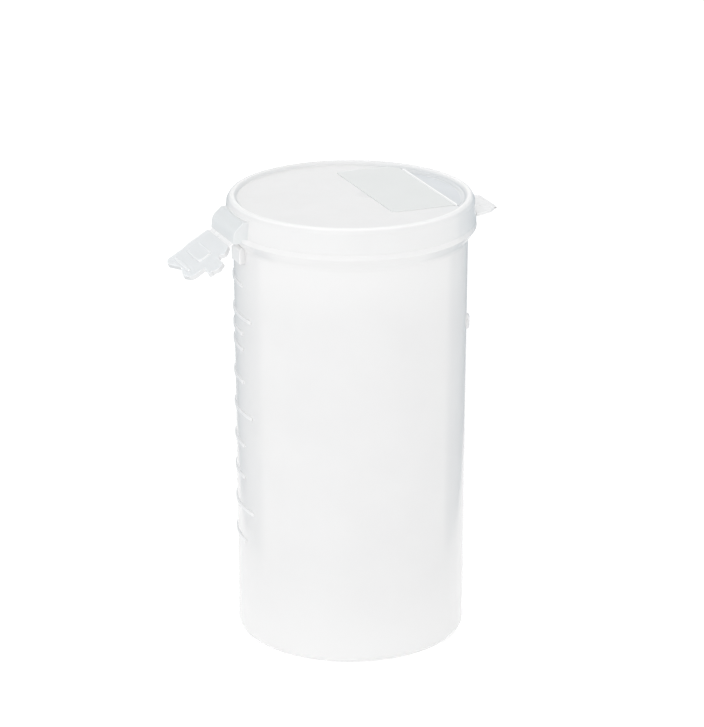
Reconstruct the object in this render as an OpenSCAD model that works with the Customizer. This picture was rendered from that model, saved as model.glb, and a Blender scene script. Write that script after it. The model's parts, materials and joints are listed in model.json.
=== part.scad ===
// Graduated sample container with a hinged lid and a locking flap, moulded in one piece
// from natural polypropylene. Every length is in millimetres.
// The origin is the centre of the base, on the plane that it stands on. +Z is up,
// +X points at the lid hinge and -X at the locking flap.

/* [Body] */
// Height from the table to the top of the closed lid
overall_h = 90.3; // [84:0.1:100]
// Outer diameter of the body where it meets the collar
body_top_d = 46.1; // [45.5:0.1:46.6]
// Outer diameter of the body at the table
body_base_d = 45.3; // [44:0.1:45.4]
// Thickness of the body wall
wall_t = 1.05; // [0.9:0.05:1.2]
// Height of the inner floor above the table
floor_z = 7.2; // [4:0.1:9]
// Thickness of the floor
floor_t = 1.1; // [0.8:0.1:1.6]
// Outer radius of the heel
heel_r = 1.5; // [1:0.1:1.6]
// Thickness of the foot below the floor
foot_t = 1.85; // [1.7:0.05:2.4]

/* [Collar and neck] */
// Diameter of the widest edge of the collar
collar_d = 49.4; // [49.3:0.1:50.5]
// Depth of the widest edge below the top of the lid
collar_edge_depth = 6.1; // [5.9:0.1:6.6]
// Depth of the foot of the collar's cone below the top of the lid
collar_foot_depth = 8.2; // [8:0.1:9]
// Depth of the parting plane between lid and body below the top of the lid
parting_depth = 5.1; // [4.9:0.1:5.3]
// Height of the neck above the parting plane
neck_h = 3.2; // [2.8:0.1:3.3]
// Thickness of the neck
neck_t = 0.95; // [0.8:0.05:1]

/* [Lid] */
// Diameter of the lid at its top edge
lid_top_d = 47.5; // [47:0.1:48]
// Diameter of the skirt at its upper end, where the lid's top edge starts
skirt_top_d = 48.6; // [48.4:0.1:48.8]
// Depth of that end below the top of the lid
skirt_top_depth = 1; // [0.9:0.1:1.3]
// Diameter of the lid at the bottom of its skirt
skirt_d = 49.2; // [48.9:0.1:49.2]
// Clearance between the neck and the skirt
skirt_gap = 0.3; // [0.25:0.05:0.4]
// Height of the rim bead above the lid's plate
rim_h = 0.6; // [0.4:0.1:0.8]
// Thickness of the lid's plate
plate_t = 0.95; // [0.8:0.05:1.1]
// Clearance under the skirt and between the hinge leaves
parting_gap = 0.1; // [0.08:0.02:0.2]
// Depth of the lowered segment of the plate beside the hinge
segment_depth = 0.3; // [0.1:0.05:0.4]
// Distance from the axis to the rib along that segment
rib_x = 16.4; // [15:0.1:16.8]

/* [Seal ring] */
// Outer radius of the seal ring where it leaves the plate
seal_top_r = 21.7; // [21.4:0.05:21.7]
// Outer radius of the seal ring at its free edge
seal_free_r = 21.2; // [20.9:0.05:21.2]
// Thickness of the seal ring
seal_t = 0.9; // [0.6:0.05:1]

/* [Hinge] */
// Distance from the axis to the lid hinge
hinge_x = 29.35; // [28.5:0.05:30]
// Thickness of one hinge leaf
leaf_t = 0.25; // [0.25:0.05:0.4]
// Width of the leaves where they leave the collar
leaf_root_w = 14.6; // [13:0.2:16]
// Width of the fold line
fold_w = 9.2; // [8:0.2:10]
// Radius of the round film along each hinge line
film_r = 0.3; // [0.25:0.05:0.3]

/* [Locking flap] */
// Width of the shoulder that carries the flap
shoulder_w = 12.4; // [12:0.2:14]
// Distance from the axis to the shoulder's outer face
shoulder_x = 26.8; // [26.7:0.05:27]
// Distance from the axis to the flap's hinge line
flap_hinge_x = 27.1; // [27:0.05:27.4]
// Depth of the flap's hinge line below the top of the lid
flap_hinge_depth = 6; // [5.7:0.1:6]
// Angle of the resting flap below the horizontal
flap_droop = 31; // [10:1:50]
// Thickness of the flap
flap_t = 0.8; // [0.6:0.1:0.8]
// Width of the keeper lug
keeper_w = 4.6; // [4:0.2:6]
// Distance from the axis to the keeper's nose
keeper_x = 24.1; // [23.9:0.05:24.3]
// Height of the keeper lug
keeper_h = 2.9; // [2.4:0.1:3.2]
// Clearance between the keeper's lower face and the hook that swings under it
hook_gap = 0.2; // [0.15:0.05:0.3]
// How far the hook reaches in behind the keeper's nose
hook_overlap = 0.35; // [0.2:0.05:0.5]
// Thickness of the hook
hook_t = 1; // [0.8:0.1:1.4]
// Width of the hook
hook_w = 4.2; // [3:0.2:6]

/* [Graduations] */
// Volume between two marks, in millilitres
mark_step_ml = 10; // [5:5:20]
// Volume at the lowest mark
first_mark_ml = 20; // [10:10:30]
// Volume at the highest mark
last_mark_ml = 100; // [80:10:100]
// Every mark at a multiple of this volume is long
long_mark_ml = 30; // [20:10:60]
// Volume at the extra short mark
extra_mark_ml = 85; // [75:5:95]
// How far the marks stand proud of the wall
mark_proud = 0.25; // [0.1:0.05:0.4]
// Height of a mark
mark_h = 0.5; // [0.3:0.1:1]
// How far the fill mark on the other side stands proud of the wall
fill_mark_proud = 0.55; // [0.3:0.05:0.7]

/* [Hidden] */

milky = [0.90, 0.93, 0.95];
milky_lid = [0.94, 0.96, 0.97];
milky_trim = [0.84, 0.89, 0.93];
frosted = [0.88, 0.90, 0.90];

round_fn = 180;

parting_z = overall_h - parting_depth;
collar_edge_z = overall_h - collar_edge_depth;
collar_foot_z = overall_h - collar_foot_depth;
skirt_z = parting_z + parting_gap;
plate_z = overall_h - rim_h;
plate_under_z = plate_z - plate_t;
neck_r = body_top_d / 2 - wall_t + neck_t;
skirt_inner_r = neck_r + skirt_gap;
skirt_r = skirt_d / 2;
lid_top_r = lid_top_d / 2;
hinge_z = parting_z + parting_gap / 2;
leaf_end_x = hinge_x - film_r - 0.05;
flap_hinge_z = overall_h - flap_hinge_depth;
keeper_top_z = collar_foot_z - 0.05;
hook_near = flap_hinge_z - (keeper_top_z - keeper_h) + hook_gap;
hook_reach = flap_hinge_x - keeper_x + hook_overlap;
mark_base_angle = 152;
short_mark_sweep = 30;
long_mark_sweep = 39;

// Outer radius of the body at height z
function body_r(z) = (body_base_d + (body_top_d - body_base_d) * z / parting_z) / 2;

// Height of the liquid surface above the table for a volume in millilitres
inner_taper = (body_r(parting_z) - body_r(floor_z)) / (parting_z - floor_z);
floor_r = body_r(floor_z) - wall_t;
function level_z(ml) =
    floor_z + (pow(pow(floor_r, 3) + 3000 * inner_taper * ml / PI, 1 / 3) - floor_r) / inner_taper;

// Points of an outline of corners [x, y, radius], with each corner rounded by an arc
function unit(v) = v / norm(v);
function corner(c, i) = [c[i % len(c)][0], c[i % len(c)][1]];
function corner_arc(here, back, ahead, r, steps) =
    let (
        half = acos(back * ahead) / 2,
        centre = here + unit(back + ahead) * r / sin(half),
        from = here + back * r / tan(half) - centre,
        to = here + ahead * r / tan(half) - centre,
        start = atan2(from[1], from[0]),
        sweep = (atan2(to[1], to[0]) - start + 540) % 360 - 180
    )
    [for (k = [0 : steps]) centre + r * [cos(start + sweep * k / steps),
                                         sin(start + sweep * k / steps)]];
function rounded(c, steps = 6) = [
    for (i = [0 : len(c) - 1])
        let (
            here = corner(c, i),
            back = unit(corner(c, i + len(c) - 1) - here),
            ahead = unit(corner(c, i + 1) - here)
        )
        each c[i][2] > 0 ? corner_arc(here, back, ahead, c[i][2], steps) : [here]
];

// Ring about the Z axis with the given half section
module ring(section, sweep = 360) {
    rotate_extrude(angle = sweep, $fn = round_fn) polygon(section);
}

// Bar along Y with the given section in X and Z
module bar(section, width) {
    translate([0, width / 2, 0]) rotate([90, 0, 0]) linear_extrude(width) polygon(section);
}

// Tapered wall with a rounded heel, and the thicker foot under the floor
module body_wall() {
    foot_r = body_r(0) - foot_t;
    ledge_z = floor_z - floor_t;
    color(milky) ring(rounded([
        [foot_r, 0, 0],
        [body_r(0), 0, heel_r],
        [body_r(parting_z), parting_z, 0],
        [body_r(parting_z) - wall_t, parting_z, 0],
        [body_r(ledge_z) - wall_t, ledge_z, 0],
        [foot_r - 0.2, ledge_z, 0]
    ], 8));
}

// Floor, raised above the table inside the foot
module base_panel() {
    ledge_z = floor_z - floor_t;
    color(milky) ring([
        [0, ledge_z],
        [body_r(ledge_z) - wall_t, ledge_z],
        [floor_r, floor_z],
        [0, floor_z]
    ]);
}

// Cone under the lid, which carries the skirt and the hinge, with a fillet to the wall
module collar() {
    fillet_z = collar_foot_z - 0.6;
    color(milky_trim) ring(rounded([
        [body_r(fillet_z), fillet_z, 0],
        [body_r(collar_foot_z) + 0.12, collar_foot_z, 2],
        [collar_d / 2, collar_edge_z, 0.35],
        [skirt_r, parting_z - leaf_t - 0.1, 0],
        [skirt_r, parting_z, 0],
        [body_r(parting_z), parting_z, 0]
    ]));
}

// Neck inside the skirt, with a rounded lip
module neck_rim() {
    color(milky) ring(rounded([
        [neck_r - neck_t, parting_z, 0],
        [neck_r, parting_z, 0],
        [neck_r, parting_z + neck_h, 0.4],
        [neck_r - neck_t, parting_z + neck_h, 0.4]
    ]));
}

// Lug whose lower face the flap's hook catches
module keeper_lug() {
    bottom_z = keeper_top_z - keeper_h;
    fillet_z = collar_foot_z - 0.6;
    color(milky_trim) difference() {
        bar(rounded([
            [-20, keeper_top_z, 0],
            [-20, bottom_z, 0],
            [-keeper_x, bottom_z, 0.2],
            [-keeper_x, keeper_top_z, 0.4]
        ]), keeper_w);
        ring([
            [0, 0],
            [body_r(0), 0],
            [body_r(fillet_z), fillet_z],
            [body_r(collar_foot_z) + 0.17, collar_foot_z],
            [0, parting_z]
        ]);
    }
}

// One leaf of the lid hinge, from the skirt's radius to the fold, standing on height z
module hinge_leaf(z) {
    translate([0, 0, z]) difference() {
        linear_extrude(leaf_t) polygon(rounded([
            [20, -leaf_root_w / 2, 0],
            [leaf_end_x - 1.6, -leaf_root_w / 2 + 1.1, 1.5],
            [leaf_end_x, -fold_w / 2, 0.6],
            [leaf_end_x, fold_w / 2, 0.6],
            [leaf_end_x - 1.6, leaf_root_w / 2 - 1.1, 1.5],
            [20, leaf_root_w / 2, 0]
        ]));
        translate([0, 0, -1]) cylinder(r = skirt_r, h = leaf_t + 2, $fn = round_fn);
    }
}

module body_hinge_leaf() {
    color(milky_trim) hinge_leaf(parting_z - leaf_t);
}

module lid_hinge_leaf() {
    color(milky_lid) hinge_leaf(skirt_z);
}

// Round film along a hinge line
module film(x, z, width) {
    translate([x, width / 2, z]) rotate([90, 0, 0]) cylinder(r = film_r, h = width, $fn = 32);
}

module hinge_film() {
    color(milky_lid) film(hinge_x, hinge_z, fold_w - 1);
}

module flap_film() {
    color(milky_lid) film(-flap_hinge_x, flap_hinge_z, shoulder_w - 1);
}

// Raised arc on the wall at height z
module mark(z, sweep) {
    r = body_r(z);
    rotate([0, 0, mark_base_angle]) ring([
        [body_r(z - mark_h / 2), z - mark_h / 2],
        [r + mark_proud, z - mark_h / 4],
        [r + mark_proud, z + mark_h / 4],
        [body_r(z + mark_h / 2), z + mark_h / 2]
    ], sweep);
}

module graduation_marks() {
    color(milky_trim) {
        for (ml = [first_mark_ml : mark_step_ml : last_mark_ml])
            mark(level_z(ml), ml % long_mark_ml == 0 ? long_mark_sweep : short_mark_sweep);
        mark(level_z(extra_mark_ml), short_mark_sweep);
    }
}

// Short raised bar at the extra mark's height, on the other side of the body
module fill_mark() {
    fill_mark_h = 1.8;
    fill_mark_sweep = 6;
    z = level_z(extra_mark_ml) - fill_mark_h / 2;
    color(milky_trim) rotate([0, 0, -24 - fill_mark_sweep / 2]) ring([
        [body_r(z), z],
        [body_r(z + 0.6) + fill_mark_proud, z + 0.6],
        [body_r(z + 0.6) + fill_mark_proud, z + fill_mark_h - 0.6],
        [body_r(z + fill_mark_h), z + fill_mark_h]
    ], fill_mark_sweep);
}

// Half section of the lid, from the axis out to its skirt
lid_section = rounded([
    [0, plate_under_z, 0],
    [skirt_inner_r, plate_under_z, 0],
    [skirt_inner_r, skirt_z, 0],
    [skirt_r, skirt_z, 0],
    [skirt_r, skirt_z + leaf_t + 0.1, 0],
    [skirt_top_d / 2, overall_h - skirt_top_depth, 0.6],
    [lid_top_r, overall_h, 0.45],
    [lid_top_r - 0.95, overall_h, 0.4],
    [lid_top_r - 1.5, plate_z, 0.3],
    [0, plate_z, 0]
]);

// Volume inside the lid's outer surface
module lid_envelope() {
    ring([
        [0, skirt_z - 5],
        [skirt_r, skirt_z - 5],
        [skirt_r, skirt_z + leaf_t + 0.1],
        [skirt_top_d / 2, overall_h - skirt_top_depth],
        [0, overall_h - skirt_top_depth]
    ]);
}

// Plate with a rim bead and a flared skirt, and a lowered segment beside the hinge
module lid_cap() {
    color(milky_lid) difference() {
        ring(lid_section);
        intersection() {
            translate([rib_x + 0.6, -25, plate_z - segment_depth]) cube([25, 50, 5]);
            cylinder(r = lid_top_r - 1.75, h = 2 * overall_h, $fn = round_fn);
        }
    }
}

// Ring on the underside of the plate that enters the neck
module seal_ring() {
    free_z = parting_z + 0.6;
    color(milky_lid) ring([
        [seal_top_r, plate_under_z],
        [seal_top_r - seal_t, plate_under_z],
        [seal_free_r - seal_t + 0.2, free_z],
        [seal_free_r - 0.25, free_z],
        [seal_free_r, free_z + 0.35]
    ]);
}

// Frosted writing area, a little proud of the plate
module write_on_panel() {
    panel_x = 3.4;
    near_y = -13.3;
    far_y = 16.5;
    panel_h = 0.12;
    color(frosted) translate([0, 0, plate_z]) intersection() {
        linear_extrude(panel_h) polygon(rounded([
            [panel_x, near_y, 1],
            [rib_x, near_y, 0],
            [rib_x, far_y, 0],
            [panel_x, far_y, 1]
        ]));
        cylinder(r = lid_top_r - 1.75, h = 1, $fn = round_fn);
    }
}

// Low rib between the writing area and the lowered segment
module lid_rib() {
    rib_h = 0.32;
    rib_l = 27.6;
    color(milky_lid) bar([
        [rib_x, plate_z],
        [rib_x + 0.6, plate_z],
        [rib_x + 0.45, plate_z + rib_h],
        [rib_x + 0.15, plate_z + rib_h]
    ], rib_l);
}

// Hollow quarter-round shoulder on the skirt, which carries the flap
module lock_shoulder() {
    shell_t = 0.9;
    bottom_z = flap_hinge_z + film_r + 0.05;
    crown_z = overall_h - 1.5;
    inside_x = shoulder_x - shell_t;
    color(milky_lid) difference() {
        bar(rounded([
            [-18, skirt_z + 0.1, 0],
            [-18, crown_z, 0],
            [-lid_top_r - 0.9, crown_z, 0.6],
            [-shoulder_x + 0.25, overall_h - 3.2, 2],
            [-shoulder_x, bottom_z, 0],
            [-collar_d / 2 - 0.25, bottom_z, 0],
            [-collar_d / 2 - 0.25, skirt_z + 0.1, 0]
        ]), shoulder_w);
        bar(rounded([
            [-18, skirt_z - 5, 0],
            [-18, crown_z - shell_t, 0],
            [-lid_top_r - 0.7, crown_z - shell_t, 0.4],
            [-inside_x + 0.25, overall_h - 3.5, 1.4],
            [-inside_x, skirt_z - 5, 0]
        ]), shoulder_w - 2 * shell_t);
        lid_envelope();
    }
}

// Outline of the flap: X runs from the hinge line to the free edge, Y along the hinge
flap_outline = [
    [film_r + 0.05, 5.9, 0],
    [film_r + 0.05, -5.7, 0],
    [1.3, -6.9, 0.5],
    [2.2, -7.8, 0.5],
    [3, -6.7, 0.3],
    [3.5, -7.6, 0.4],
    [3.6, -10.4, 0.8],
    [5.2, -11.5, 0.5],
    [6.1, -10.7, 0.5],
    [7.2, -11.3, 0.5],
    [6.8, -7.3, 0.4],
    [9.8, -7.5, 1.3],
    [10.7, -4.7, 1.4],
    [9.7, -0.7, 2],
    [11, 4, 1.6],
    [10.2, 5.7, 0.9],
    [6.6, 5.6, 3],
    [5, 6.1, 3]
];

// Flap with a low pad and a grip bar outside, and the hook inside
module flat_flap() {
    relief_h = 0.25;
    translate([0, 0, -flap_t / 2]) linear_extrude(flap_t) polygon(rounded(flap_outline));
    translate([3.6, -4, 0]) cube([3, 7.4, flap_t / 2 + relief_h]);
    translate([8.8, -4.6, 0]) cube([0.6, 8.8, flap_t / 2 + relief_h]);
    translate([hook_near, hook_w / 2, 0]) rotate([90, 0, 0]) linear_extrude(hook_w)
        polygon([
            [0, 0],
            [0, -hook_reach],
            [0.35, -hook_reach],
            [hook_t, -hook_reach + 1],
            [hook_t + 0.4, 0]
        ]);
}

module lock_flap() {
    color(milky_lid) translate([-flap_hinge_x, 0, flap_hinge_z])
        rotate([0, -flap_droop, 0]) rotate([0, 0, 180]) mirror([0, 1, 0]) flat_flap();
}

body_wall();
base_panel();
collar();
neck_rim();
keeper_lug();
body_hinge_leaf();
hinge_film();
graduation_marks();
fill_mark();
lid_cap();
seal_ring();
write_on_panel();
lid_rib();
lid_hinge_leaf();
lock_shoulder();
flap_film();
lock_flap();
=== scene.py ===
"""Looks of the hinged-lid sample container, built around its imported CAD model. Metres, +Z up."""
import json
import math

import bmesh
import bpy
from mathutils import Matrix, Vector


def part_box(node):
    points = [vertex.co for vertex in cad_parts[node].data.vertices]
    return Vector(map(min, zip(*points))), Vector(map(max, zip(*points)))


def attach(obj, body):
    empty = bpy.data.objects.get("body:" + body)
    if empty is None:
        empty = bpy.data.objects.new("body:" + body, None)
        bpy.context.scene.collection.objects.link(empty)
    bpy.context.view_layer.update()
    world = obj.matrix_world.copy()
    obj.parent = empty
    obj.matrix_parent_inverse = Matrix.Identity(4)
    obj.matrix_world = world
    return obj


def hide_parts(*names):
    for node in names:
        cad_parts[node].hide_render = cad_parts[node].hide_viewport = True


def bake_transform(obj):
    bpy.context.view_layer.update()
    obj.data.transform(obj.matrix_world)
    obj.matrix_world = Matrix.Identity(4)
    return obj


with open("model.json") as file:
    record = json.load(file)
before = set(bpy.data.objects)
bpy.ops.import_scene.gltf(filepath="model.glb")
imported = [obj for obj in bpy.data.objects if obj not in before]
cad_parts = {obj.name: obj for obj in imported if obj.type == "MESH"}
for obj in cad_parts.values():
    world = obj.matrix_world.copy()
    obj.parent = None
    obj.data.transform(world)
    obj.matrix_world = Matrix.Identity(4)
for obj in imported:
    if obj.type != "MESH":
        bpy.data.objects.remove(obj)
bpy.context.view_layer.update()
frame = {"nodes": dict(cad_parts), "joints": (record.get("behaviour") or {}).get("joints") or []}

MM = 0.001
SEGMENTS = 288


# ---------------------------------------------------------------- sizes from the CAD nodes

def top(node):
    """Highest coordinates of a CAD node's box."""
    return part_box(node)[1]


def bottom(node):
    """Lowest coordinates of a CAD node's box."""
    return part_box(node)[0]


def joint_place(name):
    """A joint's position."""
    return Vector(next(j["pos_m"] for j in frame["joints"] if j["name"] == name))


OVERALL_H = top("lid_cap").z
PARTING_Z = top("body_wall").z
BODY_TOP_R = top("body_wall").x
BASE_R = BODY_TOP_R - 0.4 * MM
FOOT_INNER_R = BODY_TOP_R - 2.25 * MM
WALL_T = 1.05 * MM
FLOOR_Z = top("base_panel").z
LEDGE_Z = bottom("base_panel").z
NECK_R = top("neck_rim").x
NECK_TOP_Z = top("neck_rim").z
COLLAR_R = top("collar").x
COLLAR_FILLET_Z = bottom("collar").z
COLLAR_FOOT_Z = COLLAR_FILLET_Z + 0.6 * MM
COLLAR_EDGE_Z = OVERALL_H - 6.1 * MM
SKIRT_Z = bottom("lid_cap").z
SKIRT_R = top("lid_cap").x
SKIRT_TOP_R = SKIRT_R - 0.3 * MM
LID_TOP_R = SKIRT_R - 0.85 * MM
PLATE_FIELD_R = LID_TOP_R - 1.75 * MM  # the plate's flat part, inside the bead's fillet
LEAF_T = top("body_hinge_leaf").z - bottom("body_hinge_leaf").z
PLATE_Z = bottom("write_on_panel").z
PLATE_UNDER_Z = top("seal_ring").z
SEGMENT_X = top("lid_rib").x
SEGMENT_DEPTH = 0.3 * MM
LID_HINGE = joint_place("lid_hinge")
FLAP_HINGE = joint_place("flap_hinge")
EMBED = 0.4 * MM  # how far a piece that is moulded on another one reaches into it
PARTING_SHUT = 0.05 * MM  # each side's share of the parting gap, which is drawn closed


# ---------------------------------------------------------------- mesh helpers

def rounded(corners, steps=8):
    """Points of a closed outline of corners (x, y, radius), each rounded by an arc."""
    points = []
    for i, (x, y, radius) in enumerate(corners):
        here = Vector((x, y))
        if radius == 0:
            points.append(here)
            continue
        back = (Vector(corners[i - 1][:2]) - here).normalized()
        ahead = (Vector(corners[(i + 1) % len(corners)][:2]) - here).normalized()
        half = back.angle(ahead) / 2
        centre = here + (back + ahead).normalized() * radius / math.sin(half)
        first = here + back * radius / math.tan(half) - centre
        last = here + ahead * radius / math.tan(half) - centre
        start = math.atan2(first.y, first.x)
        sweep = (math.atan2(last.y, last.x) - start + 3 * math.pi) % (2 * math.pi) - math.pi
        for k in range(steps + 1):
            angle = start + sweep * k / steps
            points.append(centre + radius * Vector((math.cos(angle), math.sin(angle))))
    return points


def in_mm(corners):
    """Corners given in millimetres, in metres."""
    return [tuple(value * MM for value in corner) for corner in corners]


def applied(piece):
    """Applies a piece's modifiers to its mesh."""
    shape = piece.evaluated_get(bpy.context.evaluated_depsgraph_get())
    mesh = bpy.data.meshes.new_from_object(shape)
    piece.modifiers.clear()
    piece.data = mesh
    return piece


def finished(name, bm, sharp_deg=50):
    """A new object from a bmesh, smooth except at edges sharper than sharp_deg."""
    bmesh.ops.remove_doubles(bm, verts=bm.verts, dist=1e-7)
    bmesh.ops.recalc_face_normals(bm, faces=bm.faces)
    mesh = bpy.data.meshes.new(name)
    bm.to_mesh(mesh)
    bm.free()
    piece = bpy.data.objects.new(name, mesh)
    bpy.context.scene.collection.objects.link(piece)
    return smoothed(piece, sharp_deg)


def smoothed(piece, sharp_deg=50):
    """Smooth shading that keeps flat faces flat beside narrow fillets."""
    piece.data.shade_smooth()
    piece.data.set_sharp_from_angle(angle=math.radians(sharp_deg))
    weighted = piece.modifiers.new("weighted", "WEIGHTED_NORMAL")
    weighted.keep_sharp = True
    return applied(piece)


def turned(name, outline, segments=SEGMENTS):
    """Solid of revolution about Z from a closed outline of (radius, height) points."""
    bm = bmesh.new()
    rings = []
    for radius, height in outline:
        count = segments if radius > 1e-7 else 1
        rings.append([
            bm.verts.new((radius * math.cos(2 * math.pi * k / count),
                          radius * math.sin(2 * math.pi * k / count), height))
            for k in range(count)])
    for low, high in zip(rings, rings[1:] + rings[:1]):
        for k in range(segments):
            corners = [low[k % len(low)], low[(k + 1) % len(low)],
                       high[(k + 1) % len(high)], high[k % len(high)]]
            unique = list(dict.fromkeys(corners))
            if len(unique) > 2:
                bm.faces.new(unique)
    return finished(name, bm)


def slab(name, outline, low, high, edge=0.0, axis="Z", segments=3):
    """Solid between two heights over a flat outline, with its rim edges rounded by edge.

    For axis "Y" the outline is in X and Z, and the heights run along Y.
    """
    bm = bmesh.new()
    verts = [bm.verts.new((x, y, low)) for x, y in outline]
    base = bm.faces.new(verts)
    raised = bmesh.ops.extrude_face_region(bm, geom=[base])["geom"]
    bmesh.ops.translate(bm, vec=(0, 0, high - low),
                        verts=[part for part in raised if isinstance(part, bmesh.types.BMVert)])
    bmesh.ops.recalc_face_normals(bm, faces=bm.faces)
    if edge:
        rims = [e for e in bm.edges if len({round(v.co.z, 9) for v in e.verts}) == 1]
        bmesh.ops.bevel(bm, geom=rims, offset=edge, segments=segments, profile=0.5,
                        affect="EDGES", clamp_overlap=True)
    if axis == "Y":
        bm.transform(Matrix(((1, 0, 0, 0), (0, 0, 1, 0), (0, 1, 0, 0), (0, 0, 0, 1))))
    return finished(name, bm)


def combined(piece, tool, operation):
    """Joins or cuts one closed piece with another, and removes the other."""
    modifier = piece.modifiers.new("shape", "BOOLEAN")
    modifier.operation = operation
    modifier.solver = "EXACT"
    modifier.object = tool
    applied(piece)
    bpy.data.objects.remove(tool)
    return smoothed(piece)


def ridge(bm, place, profile, stations, shrink):
    """Adds a closed ridge swept through stations, its ends rounded off by the shares in shrink.

    place(station, out, up) gives a point; profile holds (out, up) pairs round the section.
    """
    rings = [[bm.verts.new(place(s, out * share, up * share)) for out, up in profile]
             for s, share in zip(stations, shrink)]
    count = len(profile)
    for low, high in zip(rings, rings[1:]):
        for k in range(count):
            bm.faces.new([low[k], low[(k + 1) % count], high[(k + 1) % count], high[k]])
    bm.faces.new(rings[0])
    bm.faces.new(rings[-1])


def end_shares(steps, ends=6):
    """Shares of the full section along a ridge, round at its two ends."""
    shares = []
    for k in range(steps + 1):
        near_end = min(k, steps - k, ends) / ends
        shares.append(max(math.sqrt(1 - (1 - near_end) ** 2), 0.15))
    return shares


# ---------------------------------------------------------------- materials

def new_material(name):
    """A node material, with its tree and its Principled shader."""
    material = bpy.data.materials.new(name)
    material.use_nodes = True
    return material, material.node_tree, material.node_tree.nodes["Principled BSDF"]


def add(tree, kind, **inputs):
    """A node with some inputs set by their names."""
    node = tree.nodes.new(kind)
    for key, value in inputs.items():
        node.inputs[key.replace("_", " ")].default_value = value
    return node


def noise(tree, scale, detail=3.0):
    """A noise value in object coordinates; scale is in features per metre."""
    place = tree.nodes.new("ShaderNodeTexCoord")
    node = add(tree, "ShaderNodeTexNoise", Scale=scale, Detail=detail)
    tree.links.new(place.outputs["Object"], node.inputs["Vector"])
    return node.outputs["Fac"]


def ramp(tree, value, low, high):
    """Maps a 0.3 to 0.7 value to the range low to high."""
    node = tree.nodes.new("ShaderNodeMapRange")
    node.inputs["From Min"].default_value = 0.3
    node.inputs["From Max"].default_value = 0.7
    node.inputs["To Min"].default_value = low
    node.inputs["To Max"].default_value = high
    tree.links.new(value, node.inputs["Value"])
    return node.outputs["Result"]


def polypropylene(name, light, dark, clear, rough, fine_bump, depth):
    """Milky translucent moulded plastic.

    clear is the share that passes light straight on, and depth is how far scattered light goes.
    """
    material, tree, shader = new_material(name)
    mix = tree.nodes.new("ShaderNodeMix")
    mix.data_type = "RGBA"
    mix.inputs["A"].default_value = (*dark, 1)
    mix.inputs["B"].default_value = (*light, 1)
    tree.links.new(ramp(tree, noise(tree, 90), 0.0, 1.0), mix.inputs["Factor"])
    tree.links.new(mix.outputs["Result"], shader.inputs["Base Color"])
    tree.links.new(ramp(tree, noise(tree, 260), rough - 0.04, rough + 0.05),
                   shader.inputs["Roughness"])
    bump = add(tree, "ShaderNodeBump", Strength=fine_bump, Distance=0.00002)
    tree.links.new(noise(tree, 5200, 2.0), bump.inputs["Height"])
    tree.links.new(bump.outputs["Normal"], shader.inputs["Normal"])
    shader.inputs["IOR"].default_value = 1.49
    shader.inputs["Transmission Weight"].default_value = clear
    shader.inputs["Subsurface Weight"].default_value = 1.0 if depth else 0.0
    shader.inputs["Subsurface Radius"].default_value = (1.0, 1.0, 1.0)
    shader.inputs["Subsurface Scale"].default_value = depth
    return material


def axis_share(tree, axis, start, end):
    """A value from 0 to 1 as one object coordinate goes from start to end."""
    place = tree.nodes.new("ShaderNodeTexCoord")
    split = tree.nodes.new("ShaderNodeSeparateXYZ")
    tree.links.new(place.outputs["Object"], split.inputs["Vector"])
    share = tree.nodes.new("ShaderNodeMapRange")
    share.interpolation_type = "SMOOTHSTEP"
    share.inputs["From Min"].default_value = start
    share.inputs["From Max"].default_value = end
    tree.links.new(split.outputs[axis], share.inputs["Value"])
    return share.outputs["Result"]


def paint_light_and_shade(material, axis, start, end, colour, within=None):
    """Goes over to another base colour along one axis: painted light where the colour is lighter,
    painted shade where it is darker.

    within is another (axis, start, end) along which the change itself comes in.
    """
    tree = material.node_tree
    share = axis_share(tree, axis, start, end)
    if within:
        product = tree.nodes.new("ShaderNodeMath")
        product.operation = "MULTIPLY"
        tree.links.new(share, product.inputs[0])
        tree.links.new(axis_share(tree, *within), product.inputs[1])
        share = product.outputs["Value"]
    shader = tree.nodes["Principled BSDF"]
    mix = tree.nodes.new("ShaderNodeMix")
    mix.data_type = "RGBA"
    mix.inputs["B"].default_value = (*colour, 1)
    tree.links.new(shader.inputs["Base Color"].links[0].from_socket, mix.inputs["A"])
    tree.links.new(share, mix.inputs["Factor"])
    tree.links.new(mix.outputs["Result"], shader.inputs["Base Color"])


BODY_PLASTIC = polypropylene(
    "milky_body", (0.773, 0.773, 0.774), (0.758, 0.758, 0.76), 0.06, 0.2, 0.15, 0.05 * MM)
RELIEF_PLASTIC = polypropylene(
    "milky_relief", (0.77, 0.772, 0.775), (0.76, 0.762, 0.765), 0.0, 0.2, 0.1, 0.0)
LID_PLASTIC = polypropylene(
    "milky_lid", (0.785, 0.786, 0.787), (0.77, 0.771, 0.772), 0.06, 0.2, 0.15, 0.05 * MM)
# Painted highlight: the rib's plastic is a lighter copy of the lid's, standing in for the glint
# along the rib.
RIB_HIGHLIGHT_PLASTIC = polypropylene(
    "milky_rib_painted_highlight", (0.90, 0.90, 0.90), (0.885, 0.885, 0.885), 0.0, 0.2, 0.1, 0.0)
# Painted shade: a darker, bluer copy of the lid's plastic for the lowered segment's floor.
SEGMENT_SHADE_PLASTIC = polypropylene(
    "milky_segment_painted_shade", (0.675, 0.703, 0.728), (0.66, 0.688, 0.713), 0.06, 0.2, 0.15, 0.05 * MM)
# Painted shade: a darker, bluer copy of the plastic for the shoulder, standing in for its own
# shade, which let_light_past takes away.
SHOULDER_SHADE_PLASTIC = polypropylene(
    "milky_shoulder_painted_shade", (0.735, 0.75, 0.755), (0.72, 0.735, 0.74), 0.06, 0.2, 0.1, 0.05 * MM)
# Painted shade: a darker copy of the plastic for the flap, standing in for its own shade, which
# let_light_past takes away.
FLAP_SHADE_PLASTIC = polypropylene(
    "milky_flap_painted_shade", (0.76, 0.77, 0.777), (0.745, 0.755, 0.762), 0.1, 0.2, 0.1, 0.7 * MM)
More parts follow.
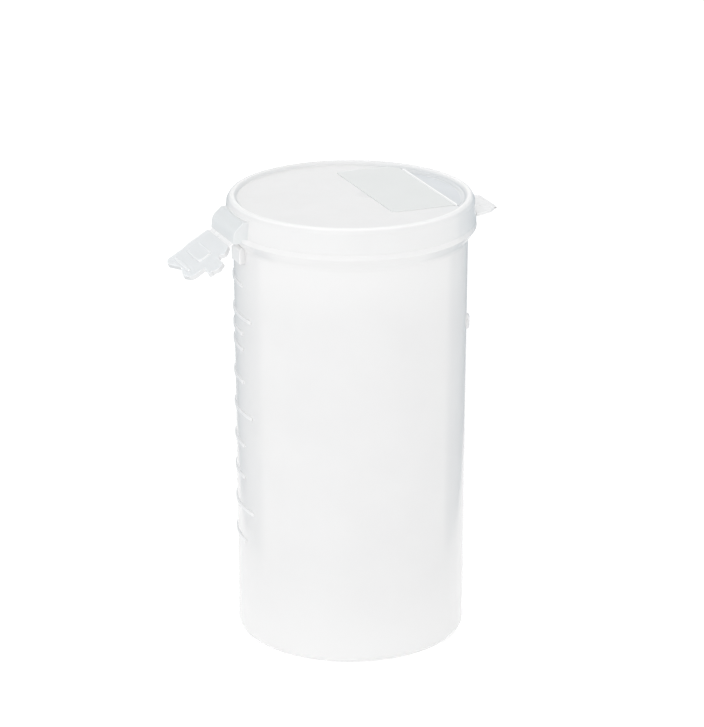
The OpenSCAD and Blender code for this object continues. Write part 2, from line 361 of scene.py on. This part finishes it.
# Painted shade: a darker copy of the flap's plastic for its side faces.
FLAP_EDGE_SHADE_PLASTIC = polypropylene(
    "milky_flap_edge_painted_shade", (0.68, 0.685, 0.69), (0.665, 0.67, 0.675), 0.0, 0.2, 0.1, 0.0)
# Painted light: a lighter copy of the plastic for the hinge leaves and films, against the shade and
# dark reflections on them.
FILM_LIT_PLASTIC = polypropylene(
    "milky_film_painted_light", (0.83, 0.83, 0.83), (0.815, 0.815, 0.815), 0.0, 0.25, 0.1, 0.0)
FROSTED = polypropylene(
    "frosted", (0.73, 0.745, 0.74), (0.715, 0.73, 0.725), 0.0, 0.5, 0.8, 0.0)
# Painted light: the wall is made lighter towards the collar, where the collar, shoulder and flap
# shade it.
paint_light_and_shade(BODY_PLASTIC, "Z", 68 * MM, COLLAR_FILLET_Z, (0.795, 0.795, 0.795))
# Painted light: the wall is made lighter towards its foot.
paint_light_and_shade(BODY_PLASTIC, "Z", 18 * MM, 1 * MM, (0.798, 0.798, 0.798))
# Painted light: the collar's edge and the keeper lug on the flap side are made lighter, in the
# shade of the shoulder and flap.
paint_light_and_shade(BODY_PLASTIC, "X", -BODY_TOP_R - 0.1 * MM, -COLLAR_R + 0.4 * MM, (0.84, 0.84, 0.84))
# Painted shade: the lid is made darker and bluer towards its hinge side.
paint_light_and_shade(LID_PLASTIC, "X", 6 * MM, SKIRT_R, (0.725, 0.742, 0.755))
# Painted highlight: the rim bead's crown is made lighter, most at low Y and none beyond Y 34 mm.
paint_light_and_shade(LID_PLASTIC, "Z", PLATE_Z + 0.02 * MM, OVERALL_H - 0.1 * MM, (0.87, 0.87, 0.87),
       within=("Y", 34 * MM, 2 * MM))


def coated(piece, plastic, node):
    """Gives a piece its material, and hides the CAD node that it stands for."""
    piece.data.materials.clear()
    piece.data.materials.append(plastic)
    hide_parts(node)
    return piece


def fit(piece, plastic, body, node):
    """The same for a piece that rides on one body."""
    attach(piece, body)
    return coated(piece, plastic, node)


def painted_shade_coat(piece, plastic, wanted):
    """Gives the faces for which wanted is true a second, darker plastic: painted shade on those
    faces.
    """
    piece.data.materials.append(plastic)
    for face in piece.data.polygons:
        if wanted(face):
            face.material_index = 1


def let_light_past(piece):
    """Thin milky plastic hardly shades what stands behind it."""
    piece.visible_diffuse = False
    piece.visible_shadow = False


# ---------------------------------------------------------------- vessel

def body_r(z):
    """Outer radius of the tapered wall at height z."""
    return BASE_R + (BODY_TOP_R - BASE_R) * z / PARTING_Z


def make_body_wall():
    """Tapered wall with a round heel, and the thicker foot under the floor."""
    outline = rounded([
        (FOOT_INNER_R, 0, 0.12 * MM),
        (body_r(0), 0, 1.5 * MM),
        (body_r(PARTING_Z), PARTING_Z, 0.1 * MM),
        (body_r(PARTING_Z) - WALL_T, PARTING_Z, 0.1 * MM),
        (body_r(LEDGE_Z) - WALL_T, LEDGE_Z, 0.3 * MM),
        (FOOT_INNER_R - 0.2 * MM, LEDGE_Z, 0.1 * MM),
    ])
    fit(turned("body_wall_moulding", outline), BODY_PLASTIC, "vessel", "body_wall")


def make_base():
    """Floor, with a fillet up to the wall."""
    edge_r = body_r(FLOOR_Z) - WALL_T
    outline = rounded([
        (0, LEDGE_Z, 0),
        (edge_r + EMBED, LEDGE_Z, 0.1 * MM),
        (edge_r + EMBED, FLOOR_Z + 1.3 * MM, 0.1 * MM),
        (edge_r - 0.05 * MM, FLOOR_Z + 1.3 * MM, 0),
        (edge_r - 0.05 * MM, FLOOR_Z, 1.2 * MM),
        (0, FLOOR_Z, 0),
    ])
    fit(turned("base_moulding", outline), BODY_PLASTIC, "vessel", "base_panel")


def make_collar():
    """Cone under the lid, faired into the wall."""
    outline = rounded([
        (body_r(COLLAR_FILLET_Z) - EMBED, COLLAR_FILLET_Z, 0),
        (body_r(COLLAR_FILLET_Z) + 0.01 * MM, COLLAR_FILLET_Z, 0),
        (body_r(COLLAR_FOOT_Z) + 0.12 * MM, COLLAR_FOOT_Z, 2 * MM),
        (COLLAR_R, COLLAR_EDGE_Z, 0.35 * MM),
        (SKIRT_R, PARTING_Z - LEAF_T - 0.1 * MM, 0.3 * MM),
        (SKIRT_R, PARTING_Z + PARTING_SHUT, 0.03 * MM),
        (body_r(PARTING_Z) - EMBED, PARTING_Z + PARTING_SHUT, 0),
    ])
    fit(turned("collar_moulding", outline), BODY_PLASTIC, "vessel", "collar")


def make_neck():
    """Neck inside the skirt, with a rounded lip."""
    outline = rounded([
        (NECK_R - 0.95 * MM, PARTING_Z - EMBED, 0),
        (NECK_R, PARTING_Z - EMBED, 0),
        (NECK_R, NECK_TOP_Z, 0.4 * MM),
        (NECK_R - 0.95 * MM, NECK_TOP_Z, 0.4 * MM),
    ])
    fit(turned("neck_moulding", outline), BODY_PLASTIC, "vessel", "neck_rim")


def make_keeper():
    """Lug that the flap's hook catches, rounded on every edge."""
    low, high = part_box("keeper_lug")
    outline = rounded([
        (-BODY_TOP_R + EMBED, high.z + EMBED, 0),
        (-BODY_TOP_R + EMBED, low.z, 0),
        (low.x, low.z, 0.25 * MM),
        (low.x, high.z, 0.5 * MM),
        (low.x + 0.6 * MM, high.z + EMBED, 0.3 * MM),
    ])
    piece = slab("keeper_lug_moulding", outline, low.y, high.y, 0.3 * MM, "Y")
    fit(piece, BODY_PLASTIC, "vessel", "keeper_lug")


def islands(mesh):
    """The separate solids of a mesh, as lists of their points, in the mesh's own order."""
    bm = bmesh.new()
    bm.from_mesh(mesh)
    seen = set()
    found = []
    for first in bm.verts:
        if first in seen:
            continue
        seen.add(first)
        stack = [first]
        points = []
        while stack:
            vert = stack.pop()
            points.append(vert.co.copy())
            for edge in vert.link_edges:
                other = edge.other_vert(vert)
                if other not in seen:
                    seen.add(other)
                    stack.append(other)
        found.append(points)
    bm.free()
    return found


def wall_marks(name, node, proud, half_h, ends):
    """Rounded ridges on the wall where the CAD node has its marks."""
    bm = bmesh.new()
    sides = 14
    profile = [(proud * math.sin(math.pi * k / sides), half_h * math.cos(math.pi * k / sides))
               for k in range(sides + 1)]
    profile = [(-0.1 * MM, half_h), *profile, (-0.1 * MM, -half_h)]
    for points in islands(frame["nodes"][node].data):
        z = sum(p.z for p in points) / len(points)
        angles = [math.atan2(p.y, p.x) % (2 * math.pi) for p in points]
        if max(angles) - min(angles) > math.pi:
            angles = [(a + math.pi) % (2 * math.pi) - math.pi for a in angles]
        start, end = min(angles), max(angles)
        steps = 40

        def place(angle, out, up, z=z):
            radius = body_r(z + up) + out
            return (radius * math.cos(angle), radius * math.sin(angle), z + up)

        stations = [start + (end - start) * k / steps for k in range(steps + 1)]
        ridge(bm, place, profile, stations, end_shares(steps, ends))
    return fit(finished(name, bm), RELIEF_PLASTIC, "vessel", node)


def hinge_leaf(name, node, body, low, high):
    """Thin leaf from the container's side to the fold, with soft edges."""
    end = top(node).x
    half_root = top(node).y + 0.25 * MM
    half_fold = half_root - 2.7 * MM
    outline = rounded([
        (SKIRT_R - 0.8 * MM, -half_root - 0.4 * MM, 0),
        (SKIRT_R + 0.6 * MM, -half_root + 0.1 * MM, 0.8 * MM),
        (end - 1.6 * MM, -half_root + 1.1 * MM, 1.5 * MM),
        (end, -half_fold, 0.6 * MM),
        (end, half_fold, 0.6 * MM),
        (end - 1.6 * MM, half_root - 1.1 * MM, 1.5 * MM),
        (SKIRT_R + 0.6 * MM, half_root - 0.1 * MM, 0.8 * MM),
        (SKIRT_R - 0.8 * MM, half_root + 0.4 * MM, 0),
    ])
    fit(slab(name, outline, low, high, 0.07 * MM), FILM_LIT_PLASTIC, body, node)


def make_hinge_film():
    """Film that wraps round the fold from the lower leaf to the upper one."""
    low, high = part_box("hinge_film")
    radius = high.x - LID_HINGE.x
    film_t = 0.22 * MM
    half_l = high.y
    outer, inner = [], []
    for k in range(13):
        angle = math.radians(-90 + 15 * k)
        direction = Vector((math.cos(angle), math.sin(angle)))
        centre = Vector((LID_HINGE.x, LID_HINGE.z))
        outer.append(centre + direction * radius)
        inner.append(centre + direction * (radius - film_t))
    tail = 0.35 * MM
    outer = [outer[0] - Vector((tail, 0)), *outer, outer[-1] - Vector((tail, 0))]
    inner = [inner[0] - Vector((tail, 0)), *inner, inner[-1] - Vector((tail, 0))]
    piece = slab("hinge_film_fold", outer + inner[::-1], -half_l, half_l, 0.03 * MM, "Y", 2)
    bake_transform(piece)
    coated(piece, FILM_LIT_PLASTIC, "hinge_film")


# ---------------------------------------------------------------- lid

def make_lid():
    """Plate, rim bead and skirt, with the lowered segment beside the hinge."""
    inner_r = NECK_R + 0.3 * MM
    outline = rounded([
        (0, PLATE_UNDER_Z, 0),
        (inner_r, PLATE_UNDER_Z, 0.2 * MM),
        (inner_r, SKIRT_Z, 0.12 * MM),
        (SKIRT_R, SKIRT_Z - PARTING_SHUT, 0.03 * MM),
        (SKIRT_R, SKIRT_Z + LEAF_T + 0.1 * MM, 0.4 * MM),
        (SKIRT_TOP_R, OVERALL_H - 1.0 * MM, 0.6 * MM),
        (LID_TOP_R, OVERALL_H, 0.45 * MM),
        (LID_TOP_R - 0.95 * MM, OVERALL_H, 0.4 * MM),
        (LID_TOP_R - 1.5 * MM, PLATE_Z, 0.35 * MM),
        (0, PLATE_Z, 0),
    ])
    lid = turned("lid_shell", outline)
    combined(lid, segment_cutter(), "DIFFERENCE")
    fit(lid, LID_PLASTIC, "lid", "lid_cap")
    segment_z = PLATE_Z - SEGMENT_DEPTH
    # Painted shade: the lowered segment's floor gets the darker, bluer plastic.
    painted_shade_coat(lid, SEGMENT_SHADE_PLASTIC, lambda face: face.normal.z > 0.9 and face.center.x > SEGMENT_X
                and abs(face.center.z - segment_z) < 0.01 * MM)


def segment_cutter():
    """Space above the lowered segment: a chord on one side, the rim's circle on the other.

    Its sides slope, so that the step down to the segment is a soft one.
    """
    half = math.acos(SEGMENT_X / PLATE_FIELD_R)
    steps = 48
    angles = [half * (2 * k / steps - 1) for k in range(steps + 1)]
    outline = [(PLATE_FIELD_R * math.cos(a), PLATE_FIELD_R * math.sin(a)) for a in angles]
    bm = bmesh.new()
    rings = []
    for inward, z in ((0.12, PLATE_Z - SEGMENT_DEPTH), (0.06, PLATE_Z - 0.22 * MM),
                      (0.0, PLATE_Z + 0.01 * MM), (0.0, PLATE_Z + 2 * MM)):
        rings.append([bm.verts.new((SEGMENT_X + (x - SEGMENT_X) * (1 - inward),
                                    y * (1 - inward / 2), z)) for x, y in outline])
    bm.faces.new(rings[0])
    bm.faces.new(rings[-1])
    for low, high in zip(rings, rings[1:]):
        for k in range(len(low)):
            ahead = (k + 1) % len(low)
            bm.faces.new([low[k], low[ahead], high[ahead], high[k]])
    return finished("segment_cutter", bm)


def make_seal():
    """Ring under the plate that enters the neck, thinner at its free edge."""
    low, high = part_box("seal_ring")
    thick = 0.9 * MM
    outline = rounded([
        (high.x, high.z + EMBED, 0),
        (high.x - thick, high.z + EMBED, 0),
        (high.x - thick - 0.3 * MM, low.z, 0.25 * MM),
        (high.x - 0.75 * MM, low.z, 0.25 * MM),
        (high.x - 0.5 * MM, low.z + 0.35 * MM, 0.3 * MM),
    ])
    fit(turned("seal_ring_moulding", outline), LID_PLASTIC, "lid", "seal_ring")


def make_panel():
    """Frosted writing area between the plate's middle and the rib."""
    low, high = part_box("write_on_panel")
    start = math.acos(high.x / PLATE_FIELD_R)
    end = math.asin(high.y / PLATE_FIELD_R)
    angles = [start + (end - start) * k / 8 for k in range(9)]
    arc = [(PLATE_FIELD_R * math.cos(a), PLATE_FIELD_R * math.sin(a), 0) for a in angles]
    outline = rounded([
        (low.x, low.y, 1 * MM),
        (high.x, low.y, 0),
        *arc,
        (low.x, high.y, 1 * MM),
    ])
    piece = slab("write_on_area", outline, PLATE_Z - EMBED, high.z, 0.1 * MM)
    fit(piece, FROSTED, "lid", "write_on_panel")


def make_rib():
    """Low round rib along the lowered segment."""
    low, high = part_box("lid_rib")
    middle = (low.x + high.x) / 2
    half_w = (high.x - low.x) / 2
    height = high.z - low.z
    sides = 10
    profile = [(half_w * math.cos(math.pi * k / sides), height * math.sin(math.pi * k / sides))
               for k in range(sides + 1)]
    profile = [(half_w, -0.2 * MM), *profile, (-half_w, -0.2 * MM)]
    bm = bmesh.new()
    steps = 48
    stations = [low.y + (high.y - low.y) * k / steps for k in range(steps + 1)]
    ridge(bm, lambda y, out, up: (middle + out, y, PLATE_Z + up), profile, stations,
          end_shares(steps, 2))
    fit(finished("lid_rib_moulding", bm), RIB_HIGHLIGHT_PLASTIC, "lid", "lid_rib")


def make_shoulder():
    """Hollow quarter-round shoulder on the skirt, which carries the flap."""
    low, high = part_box("lock_shoulder")
    shell_t = 0.9 * MM
    crown_z = high.z
    root_x = -NECK_R - 0.6 * MM
    outer = rounded([
        (root_x, SKIRT_Z, 0),
        (root_x, crown_z, 0),
        (-LID_TOP_R - 0.9 * MM, crown_z, 0.6 * MM),
        (low.x + 0.25 * MM, OVERALL_H - 3.2 * MM, 2.0 * MM),
        (low.x, low.z, 0.25 * MM),
        (-COLLAR_R - 0.25 * MM, low.z, 0.1 * MM),
        (-COLLAR_R - 0.25 * MM, SKIRT_Z, 0),
    ])
    inner = rounded([
        (root_x, SKIRT_Z - 5 * MM, 0),
        (root_x, crown_z - shell_t, 0),
        (-LID_TOP_R - 0.7 * MM, crown_z - shell_t, 0.4 * MM),
        (low.x + shell_t + 0.25 * MM, OVERALL_H - 3.5 * MM, 1.4 * MM),
        (low.x + shell_t, SKIRT_Z - 5 * MM, 0),
    ])
    piece = slab("lock_shoulder_moulding", outer, low.y, high.y, 0.3 * MM, "Y", 4)
    hollow = slab("hollow", inner, low.y + shell_t, high.y - shell_t, 0.2 * MM, "Y", 3)
    combined(piece, hollow, "DIFFERENCE")
    let_light_past(fit(piece, SHOULDER_SHADE_PLASTIC, "lid", "lock_shoulder"))


def make_lid_leaf():
    """Upper leaf of the lid's hinge, down to the parting line."""
    low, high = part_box("lid_hinge_leaf")
    hinge_leaf("lid_leaf_moulding", "lid_hinge_leaf", "lid", low.z - PARTING_SHUT, high.z)


def make_body_leaf():
    """Lower leaf of the lid's hinge, up to the parting line."""
    low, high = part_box("body_hinge_leaf")
    hinge_leaf("body_leaf_moulding", "body_hinge_leaf", "vessel", low.z, high.z + PARTING_SHUT)


# ---------------------------------------------------------------- flap

FLAP_T = 0.8 * MM
DROOP = math.radians(31)
FLAP_OUTLINE = [
    (0.35, 5.9, 0.3),
    (0.35, -5.7, 0.3),
    (1.3, -6.9, 0.5),
    (2.2, -7.8, 0.5),
    (3, -6.7, 0.3),
    (3.5, -7.6, 0.4),
    (3.6, -10.4, 0.8),
    (5.2, -11.5, 0.5),
    (6.1, -10.7, 0.5),
    (7.2, -11.3, 0.5),
    (6.8, -7.3, 0.4),
    (9.8, -7.5, 1.3),
    (10.7, -4.7, 1.4),
    (9.7, -0.7, 2),
    (11, 4, 1.6),
    (10.2, 5.7, 0.9),
    (6.6, 5.6, 3),
    (5, 6.1, 3),
]


def flap_space():
    """Takes flap coordinates (away from the hinge line, along it, out of the face) to the frame."""
    away = Vector((-math.cos(DROOP), 0, -math.sin(DROOP)))
    out = Vector((-math.sin(DROOP), 0, math.cos(DROOP)))
    along = Vector((0, 1, 0))
    turn = Matrix((away, along, out)).transposed().to_4x4()
    return Matrix.Translation(FLAP_HINGE) @ turn


def box_outline(x0, y0, x1, y1, radius):
    """Corners of a rounded rectangle, in millimetres."""
    return rounded(in_mm([(x0, y0, radius), (x1, y0, radius), (x1, y1, radius), (x0, y1, radius)]))


def make_flap():
    """Flap with its ear and two lobes, a low pad and a grip bar outside, and the hook inside."""
    half_t = FLAP_T / 2
    relief = half_t + 0.25 * MM
    flap = slab("lock_flap_moulding", rounded(in_mm(FLAP_OUTLINE)), -half_t, half_t, 0.2 * MM)
    pad = box_outline(3.6, -4, 6.6, 3.4, 0.5)
    grip = box_outline(8.8, -4.6, 9.4, 4.2, 0.25)
    combined(flap, slab("pad", pad, 0, relief, 0.2 * MM), "UNION")
    combined(flap, slab("grip", grip, 0, relief, 0.15 * MM), "UNION")
    reach = 3.35
    hook = rounded(in_mm([
        (5.35, 0, 0),
        (5.35, -reach, 0.12),
        (5.7, -reach, 0.12),
        (6.35, -reach + 1, 0.4),
        (6.75, 0, 0),
    ]))
    combined(flap, slab("hook", hook, -2.1 * MM, 2.1 * MM, 0.15 * MM, "Y"), "UNION")
    flap.data.transform(flap_space())
    flap.data.flip_normals()
    fit(smoothed(flap), FLAP_SHADE_PLASTIC, "flap", "lock_flap")
    out = flap_space().col[2].to_3d()
    # Painted shade: the flap's side faces get the darker plastic.
    painted_shade_coat(flap, FLAP_EDGE_SHADE_PLASTIC, lambda face: abs(face.normal.dot(out)) < 0.5)
    let_light_past(flap)


def make_flap_film():
    """Thin web from the shoulder's lower edge to the flap's root."""
    low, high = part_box("flap_film")
    shoulder = bottom("lock_shoulder")
    shoulder_foot = Vector((shoulder.x + 0.4 * MM, shoulder.z + 0.2 * MM))
    root = flap_space() @ Vector((0.75 * MM, 0, 0))
    flap_root = Vector((root.x, root.z))
    run = (flap_root - shoulder_foot).normalized()
    side = Vector((-run.y, run.x)) * 0.22 * MM
    waist = Vector((-run.y, run.x)) * 0.14 * MM
    hinge = Vector((FLAP_HINGE.x, FLAP_HINGE.z))
    outline = [shoulder_foot + side, hinge + waist, flap_root + side,
               flap_root - side, hinge - waist, shoulder_foot - side]
    spans = []
    for here, ahead in zip(outline, outline[1:] + outline[:1]):
        spans += [here.lerp(ahead, k / 5) for k in range(5)]
    piece = slab("flap_film_web", spans, low.y, high.y, 0.05 * MM, "Y", 2)
    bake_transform(piece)
    coated(piece, FILM_LIT_PLASTIC, "flap_film")


make_body_wall()
make_base()
make_collar()
make_neck()
make_keeper()
wall_marks("graduation_relief", "graduation_marks", 0.25 * MM, 0.28 * MM, 4)
wall_marks("fill_mark_relief", "fill_mark", 0.55 * MM, 0.9 * MM, 11)
make_body_leaf()
make_hinge_film()
make_lid()
make_seal()
make_panel()
make_rib()
make_shoulder()
make_lid_leaf()
make_flap()
make_flap_film()


# ---------------------------------------------------------------- studio

def sheet_mesh(name, corners):
    """A flat four-sided sheet."""
    bm = bmesh.new()
    bm.faces.new([bm.verts.new(c) for c in corners])
    bmesh.ops.subdivide_edges(bm, edges=bm.edges, cuts=1, use_grid_fill=True)
    return finished(name, bm)


def make_floor():
    """Plain pale table top, lit from inside like a light table."""
    half = 6.0
    corners = [(-half, -half, 0), (half, -half, 0), (half, half, 0), (-half, half, 0)]
    floor = sheet_mesh("floor", corners)
    material, tree, shader = new_material("pale_floor")
    shader.inputs["Base Color"].default_value = (0.5, 0.5, 0.5, 1)
    shader.inputs["Emission Color"].default_value = (1, 1, 1, 1)
    shader.inputs["Emission Strength"].default_value = 0.55
    tree.links.new(ramp(tree, noise(tree, 40), 0.6, 0.7), shader.inputs["Roughness"])
    floor.data.materials.append(material)


VIEW_AZIMUTH = math.radians(-22)
RIGHT = Vector((math.cos(VIEW_AZIMUTH), math.sin(VIEW_AZIMUTH), 0))
AHEAD = Vector((-math.sin(VIEW_AZIMUTH), math.cos(VIEW_AZIMUTH), 0))


def make_flag(name, first, last, height):
    """A grey card standing near the container, seen only in its gloss, that shapes its edges."""
    up = Vector((0, 0, height))
    card = sheet_mesh(name, [first, last, last + up, first + up])
    material, tree, shader = new_material(name)
    shader.inputs["Base Color"].default_value = (0.24, 0.31, 0.36, 1)
    shader.inputs["Roughness"].default_value = 0.9
    card.data.materials.append(material)
    card.visible_camera = False
    card.visible_diffuse = False
    card.visible_transmission = False
    card.visible_shadow = False


def make_light(name, place, target, size, power):
    """A square soft box."""
    data = bpy.data.lights.new(name, "AREA")
    data.shape = "SQUARE"
    data.size = size
    data.energy = power
    lamp = bpy.data.objects.new(name, data)
    lamp.location = place
    lamp.rotation_mode = "QUATERNION"
    lamp.rotation_quaternion = (Vector(target) - Vector(place)).to_track_quat("-Z", "Y")
    bpy.context.scene.collection.objects.link(lamp)


def make_world(strength):
    """Even white surroundings."""
    world = bpy.data.worlds.new("studio")
    world.use_nodes = True
    back = world.node_tree.nodes["Background"]
    back.inputs["Color"].default_value = (1.0, 1.0, 1.0, 1)
    back.inputs["Strength"].default_value = strength
    bpy.context.scene.world = world


def make_camera():
    """Long lens a little above the lid, as a product photograph has it."""
    distance, height, shift_right = 639.6 * MM, 279.8 * MM, 0.26 * MM
    pitch = math.radians(19.36)
    data = bpy.data.cameras.new("camera")
    data.sensor_width = 36
    data.lens = 168.9
    data.clip_start, data.clip_end = 0.01, 50
    camera = bpy.data.objects.new("camera", data)
    camera.location = -AHEAD * distance + RIGHT * shift_right + Vector((0, 0, height))
    direction = AHEAD * math.cos(pitch) - Vector((0, 0, math.sin(pitch)))
    camera.rotation_mode = "QUATERNION"
    camera.rotation_quaternion = direction.to_track_quat("-Z", "Y")
    bpy.context.scene.collection.objects.link(camera)
    bpy.context.scene.camera = camera


make_floor()
SIDE = RIGHT * 0.062  # from the container's axis to the cards beside it
make_flag("flag_left", -SIDE - AHEAD * 0.007, -SIDE + AHEAD * 0.30, 0.30)
make_flag("flag_right", SIDE + AHEAD * 0.005, SIDE + AHEAD * 0.30, 0.30)
make_flag("flag_back", -SIDE + AHEAD * 0.26, SIDE + AHEAD * 0.26, 0.13)
make_light("front_softbox", Vector((0, 0, 0.45)) - AHEAD * 1.1 - RIGHT * 0.35,
           target=(0, 0, 0.05), size=1.2, power=3.6)
make_world(1.06)
make_camera()

scene = bpy.context.scene
scene.view_settings.view_transform = "Standard"
scene.view_settings.look = "None"
scene.cycles.use_denoising = True
scene.cycles.transmission_bounces = 16
scene.cycles.max_bounces = 20
scene.cycles.diffuse_bounces = 14
